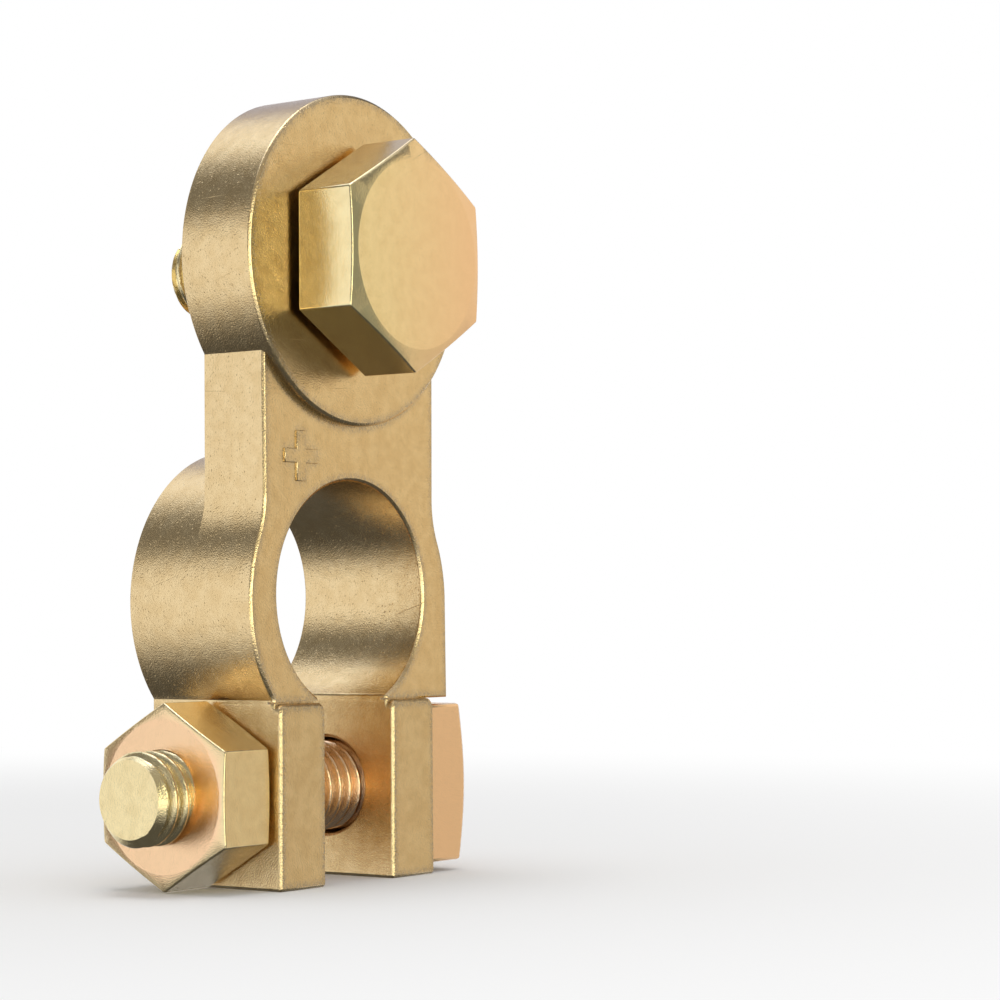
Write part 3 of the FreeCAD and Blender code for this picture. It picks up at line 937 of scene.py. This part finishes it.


# The grey that the worn front edges take on is painted shade.
cast_brass = brass("cast_brass", colour=(0.86, 0.66, 0.37), deep_colour=(0.66, 0.45, 0.20),
                   roughness=0.17, grain=0.022, scratch_depth=0.009, pit_depth=0.015,
                   edge_shade=(0.40, 0.36, 0.30))
# The rosy colour is partly the fasteners' own tone and partly painted reflection.
turned_brass = brass("turned_brass", colour=(0.95, 0.80, 0.46), deep_colour=(0.80, 0.62, 0.31),
                     roughness=0.19, grain=0.013, scratch_depth=0.004, pit_depth=0.003,
                     rosy=(0.98, 0.67, 0.41))
print("materials:", cast_brass.name, turned_brass.name)

# %% [markdown]
# Pieces on their bodies
#
# Each finished mesh is scaled to metres, gets its material, and takes the place of its node on the
# body that moves. Smooth shading alone would make the flats look pillowy, because it averages the
# normals over every corner. So the real corners are kept as corners, and the normals are weighted
# by the faces' areas, so that a large flat wins over the narrow bevel beside it.

# %% Keep the real corners
CORNER = math.radians(40)
LAND_AREA = 40 * MM * MM
LAND_ANGLE = math.radians(7)


def keep_corners(piece):
    """Shade the real corners as corners, and so the round edges of a head's turned land."""
    mesh = bmesh.new()
    mesh.from_mesh(piece.data)
    for edge in mesh.edges:
        if len(edge.link_faces) != 2:
            continue
        sizes = [face.calc_area() for face in edge.link_faces]
        beside_land = max(sizes) > LAND_AREA and edge.calc_face_angle() > LAND_ANGLE
        if beside_land or edge.calc_face_angle() > CORNER:
            edge.smooth = False
    mesh.to_mesh(piece.data)
    mesh.free()


# %% Store how rosy the fasteners are
# The rosy share is partly the fasteners' own tone and partly a painted reflection of warm metal.
ROSY_LEFT = -5.0
ROSY_WIDTH = 13.0
NUT_FACE = 0.02
NUT_SIDES_ROSY = 0.2


def mark_rosy(piece, share_of):
    """Store how rosy the metal is at each vertex."""
    layer = piece.data.attributes.new("rosy", "FLOAT", "POINT")
    for vertex, value in zip(piece.data.vertices, layer.data):
        value.value = share_of(vertex.co)


def cable_bolt_rosy(point):
    """The hexagon head turns rosy towards the right as a painted reflection; its thread isn't rosy."""
    if point.y >= CABLE_SEAT:
        return 0.0
    return held((point.x - ROSY_LEFT) / ROSY_WIDTH)


def clamp_bolt_rosy(point):
    """All of the clamp bolt is rosy but the end through the nut; in the slot it is painted reflection."""
    return 1.0 if point.x > -EAR_HALF else 0.0


def nut_rosy(point):
    """The nut's outer face is rosy, and its sides a little."""
    return 1.0 if point.x < nut_low.x + NUT_FACE else NUT_SIDES_ROSY


mark_rosy(cable_bolt, cable_bolt_rosy)
mark_rosy(clamp_bolt, clamp_bolt_rosy)
mark_rosy(nut, nut_rosy)
print("rosy shares stored on", cable_bolt.name, clamp_bolt.name, nut.name)

# %% Hand the pieces to the frame
def hand_over(piece, name, body, node, material):
    """Scale a finished piece to metres, name it, and let it ride on its body in place of its node."""
    piece.name = name
    piece.data.transform(Matrix.Scale(MM, 4))
    piece.data.materials.clear()
    piece.data.materials.append(material)
    for face in piece.data.polygons:
        face.use_smooth = True
        face.material_index = 0
    keep_corners(piece)
    piece.modifiers.new("even_shading", "WEIGHTED_NORMAL").keep_sharp = True
    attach(piece, body)
    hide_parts(node)
    triangles = sum(len(face.vertices) - 2 for face in piece.data.polygons)
    print(name, "rides on", body, "with", triangles, "triangles")


hand_over(casting, "clamp_casting", "casting", "clamp_body", cast_brass)
hand_over(cable_bolt, "hexagon_bolt", "cable_bolt", "cable_bolt", turned_brass)
hand_over(clamp_bolt, "square_head_bolt", "clamp_bolt", "clamp_bolt", turned_brass)
hand_over(nut, "hexagon_nut", "clamp_nut", "clamp_nut", turned_brass)

# %% [markdown]
# The floor
#
# The clamp stands on a pale floor that ends in the white of the backdrop. A floor that is only
# painted shows a horizon, so it glows more and more with the distance until it is as white as the
# backdrop. Near the clamp it is plain paint, and keeps the shadow.

# %% Pieces of the studio
FLOOR_REACH = 6000.0


def studio_piece(name, mesh, material_name, values):
    """A flat piece of the studio with one plain material, which isn't part of the object."""
    data = bpy.data.meshes.new(name)
    mesh.to_mesh(data)
    mesh.free()
    piece = bpy.data.objects.new(name, data)
    bpy.context.scene.collection.objects.link(piece)
    material = bpy.data.materials.new(material_name)
    material.use_nodes = True
    shader = material.node_tree.nodes["Principled BSDF"]
    for socket, value in values.items():
        shader.inputs[socket].default_value = value
    data.materials.append(material)
    return piece


floor_corners = [(-FLOOR_REACH, -FLOOR_REACH), (FLOOR_REACH, -FLOOR_REACH),
                 (FLOOR_REACH, FLOOR_REACH), (-FLOOR_REACH, FLOOR_REACH)]
floor_mesh = bmesh.new()
floor_mesh.faces.new([floor_mesh.verts.new(Vector((x, y, FOOT)) * MM) for x, y in floor_corners])
floor_paint = {"Base Color": (0.93, 0.93, 0.93, 1), "Roughness": 0.9, "Specular IOR Level": 0.0}
floor = studio_piece("floor", floor_mesh, "floor_paint", floor_paint)
floor.visible_glossy = False
print("floor at height", round(FOOT, 2), "mm")

# %% Fade the floor into the backdrop
FADE_START = 50.0
FADE_END = 210.0
FADE_BEHIND = 60.0


def fade_to_backdrop(floor_piece):
    """Far from the object the floor glows as white as the backdrop, so that no horizon shows."""
    tree = floor_piece.data.materials[0].node_tree
    places = add_node(tree, "ShaderNodeTexCoord").outputs["Object"]
    shifted = vectors(tree, "ADD", places, (0.0, -FADE_BEHIND * MM, 0.0))
    away = vectors(tree, "LENGTH", shifted, output="Value")
    distances = {"Value": away, "From Min": FADE_START * MM, "From Max": FADE_END * MM}
    share = add_node(tree, "ShaderNodeMapRange", distances, interpolation_type="SMOOTHSTEP")
    glow = add_node(tree, "ShaderNodeEmission", {"Color": (1, 1, 1, 1), "Strength": 1.0})
    paint = tree.nodes["Principled BSDF"]
    mixed = add_node(tree, "ShaderNodeMixShader", {0: share.outputs["Result"], 1: paint.outputs[0],
                                                   2: glow.outputs[0]})
    put(tree, tree.nodes["Material Output"], "Surface", mixed.outputs[0])


fade_to_backdrop(floor)
print("floor is white from", FADE_END, "mm on")

# %% [markdown]
# Cards round the object
#
# Metal looks like what stands round it, so the studio matters as much as the finish. A photographer
# puts up black and white cards until each face mirrors what it should. Here the cards are curved
# walls, each between two bearings and two heights as seen from the clamp, with the bearing counted
# from +X towards +Y. They show in the metal alone: they light nothing, throw no shadow, and the
# camera doesn't see them. More lamps would also light the floor and draw hot spots in the metal.

# %% A curved card
NEAR_CARD = 880
FAR_CARD = 900
SKY_CARD = 920


def only_mirrored(card):
    """Let a card show in the metal only."""
    card.visible_camera = False
    card.visible_diffuse = False
    card.visible_shadow = False
    card.visible_transmission = False
    card.visible_volume_scatter = False


def wall(name, bearings, heights, distance, colour, glow=1.0, steps=16):
    """A card in an arc round the object, between two bearings and two heights in degrees."""
    first, last = bearings
    mesh = bmesh.new()
    rows = []
    for elevation in heights:
        row = []
        for step in range(steps + 1):
            bearing = math.radians(first + (last - first) * step / steps)
            rise = math.radians(elevation)
            row.append(mesh.verts.new(Vector((math.cos(bearing) * math.cos(rise),
                                              math.sin(bearing) * math.cos(rise),
                                              math.sin(rise))) * distance * MM))
        rows.append(row)
    for step in range(steps):
        mesh.faces.new((rows[0][step], rows[0][step + 1], rows[1][step + 1], rows[1][step]))
    cloth = {"Base Color": (0, 0, 0, 1), "Specular IOR Level": 0.0, "Emission Color": (*colour, 1),
             "Emission Strength": glow}
    only_mirrored(studio_piece(name, mesh, name + "_cloth", cloth))
    print(name, "from", first, "to", last, "degrees, heights", heights)


# %% Cards above: dark bands and the sky
BAND = (24, 52)
SKY = (54, 86)
GREY = (0.20, 0.20, 0.20)
DARK_GREY = (0.15, 0.15, 0.15)
wall("dark_band", (100, 292), BAND, FAR_CARD, GREY, steps=32)
wall("dark_band_low", (292, 325), (24, 37), FAR_CARD, DARK_GREY)
wall("dark_band_right", (325, 390), BAND, FAR_CARD, DARK_GREY)
wall("blue_grey_back", (30, 60), (18, 56), FAR_CARD, (0.50, 0.50, 0.60))
wall("sky", (0, 180), SKY, SKY_CARD, (1.18, 1.30, 1.58), steps=24)
wall("sky_front", (180, 360), SKY, SKY_CARD, (0.42, 0.42, 0.46), steps=24)

# %% Cards before the clamp: the flags and the warm key
EYE_HIGH = 24
KEY_LOW = -12
KEY = (1.0, 1.0, 0.80)
wall("front_flag", (-100, -50), (-40, EYE_HIGH), NEAR_CARD, (0.28, 0.29, 0.26))
wall("front_top_flag", (-172, -80), (EYE_HIGH, 54), NEAR_CARD, (0.36, 0.34, 0.30))
wall("key_box", (-128, -106), (KEY_LOW, EYE_HIGH), NEAR_CARD, KEY, glow=2.8)
wall("low_key", (-158, -127), (KEY_LOW, -2), NEAR_CARD, KEY, glow=1.9)
wall("camera_side", (-172, -127), (-2, EYE_HIGH), NEAR_CARD, (0.24, 0.24, 0.26))

# %% Cards at the sides: a dark left, and a warm wall on the right
WARM = (-50, 10)
wall("left_flag", (100, 126), (-25, EYE_HIGH), NEAR_CARD, (0.25, 0.22, 0.18))
wall("warm_wall_low", WARM, (-25, -2.5), NEAR_CARD, (0.70, 0.61, 0.49))
wall("warm_wall_mid", WARM, (-2.5, 1), NEAR_CARD, (0.75, 0.66, 0.52))
wall("warm_wall", WARM, (1, 6), NEAR_CARD, (0.81, 0.71, 0.56))
wall("warm_wall_high", WARM, (6, 28), NEAR_CARD, (0.87, 0.77, 0.61))
wall("dark_behind", (24, 54), (-12, 3), NEAR_CARD, (0.08, 0.07, 0.06))

# %% [markdown]
# Lamp and backdrop
#
# One softbox overhead throws the soft shadow under the clamp. The backdrop is white for the camera
# and in the metal, and a plain level of room light for everything else. In the metal it darkens
# below the horizon, where a real clamp would mirror the shaded table under it.

# %% Lamp
def softbox(name, place_mm, size_mm, brightness):
    """A square lamp that looks at the object. Its brightness is that of its white cloth."""
    data = bpy.data.lights.new(name, "AREA")
    data.shape = "SQUARE"
    data.size = size_mm * MM
    data.energy = brightness * math.pi * (size_mm * MM) ** 2
    lamp = bpy.data.objects.new(name, data)
    lamp.location = Vector(place_mm) * MM
    lamp.rotation_euler = (-lamp.location).to_track_quat("-Z", "Y").to_euler()
    bpy.context.scene.collection.objects.link(lamp)
    print(name, "shines with", round(data.energy, 3), "watts")


softbox("overhead", place_mm=(-20, -10, 520), size_mm=260, brightness=3.0)

# %% Backdrop
LOW_DARK = -0.56
LOW_BRIGHT = -0.33
DARKEST_MIRRORED = 0.09
ROOM_LIGHT = 0.72
world = bpy.data.worlds.new("studio")
bpy.context.scene.world = world
world.use_nodes = True
sky_tree = world.node_tree
sky_tree.nodes.clear()
rays = add_node(sky_tree, "ShaderNodeLightPath").outputs
seen = maths(sky_tree, "MAXIMUM", rays["Is Camera Ray"], rays["Is Glossy Ray"])
seen = maths(sky_tree, "MAXIMUM", seen, rays["Is Transmission Ray"])
looking = add_node(sky_tree, "ShaderNodeTexCoord").outputs["Generated"]
mirrored_light = spread(sky_tree, z_of(sky_tree, looking), LOW_DARK, LOW_BRIGHT, DARKEST_MIRRORED, 1.0)
mirrored_light = maths(sky_tree, "MAXIMUM", mirrored_light, rays["Is Camera Ray"])
room = add_node(sky_tree, "ShaderNodeBackground", {"Color": (1, 1, 1, 1), "Strength": ROOM_LIGHT})
white = add_node(sky_tree, "ShaderNodeBackground", {"Color": (1, 1, 1, 1), "Strength": mirrored_light})
both = add_node(sky_tree, "ShaderNodeMixShader", {0: seen, 1: room.outputs[0], 2: white.outputs[0]})
add_node(sky_tree, "ShaderNodeOutputWorld", {"Surface": both.outputs[0]})
print("room light", ROOM_LIGHT)

# %% [markdown]
# Camera
#
# The photo was taken from the front left, a little below the middle of the bore and looking
# slightly up, so the floor is seen at a flat angle. A long lens at about a quarter of a metre gives
# the photo's amount of perspective. The camera could be aimed by a constraint, but three turns and
# a place are enough.

# %% Camera
CAMERA_PLACE = (-183.057, -155.376, -1.967)
LOOKING_ROUND = -53.866
LOOKING_UP = 2.351
LEANING = -0.441
LENS = 103.2
SENSOR_WIDTH = 36.0
SHIFT_ASIDE = -0.001
eye = bpy.data.cameras.new("camera")
eye.lens = LENS
eye.sensor_width = SENSOR_WIDTH
eye.clip_start = 0.01
eye.shift_x = SHIFT_ASIDE
camera = bpy.data.objects.new("camera", eye)
camera.matrix_world = (Matrix.Translation(Vector(CAMERA_PLACE) * MM)
                       @ Matrix.Rotation(math.radians(LOOKING_ROUND), 4, "Z")
                       @ Matrix.Rotation(math.radians(QUARTER_TURN + LOOKING_UP), 4, "X")
                       @ Matrix.Rotation(math.radians(LEANING), 4, "Z"))
bpy.context.scene.collection.objects.link(camera)
bpy.context.scene.camera = camera
bpy.context.scene.view_settings.view_transform = "Standard"
print("camera", round(camera.location.length / MM, 1), "mm from the bore")
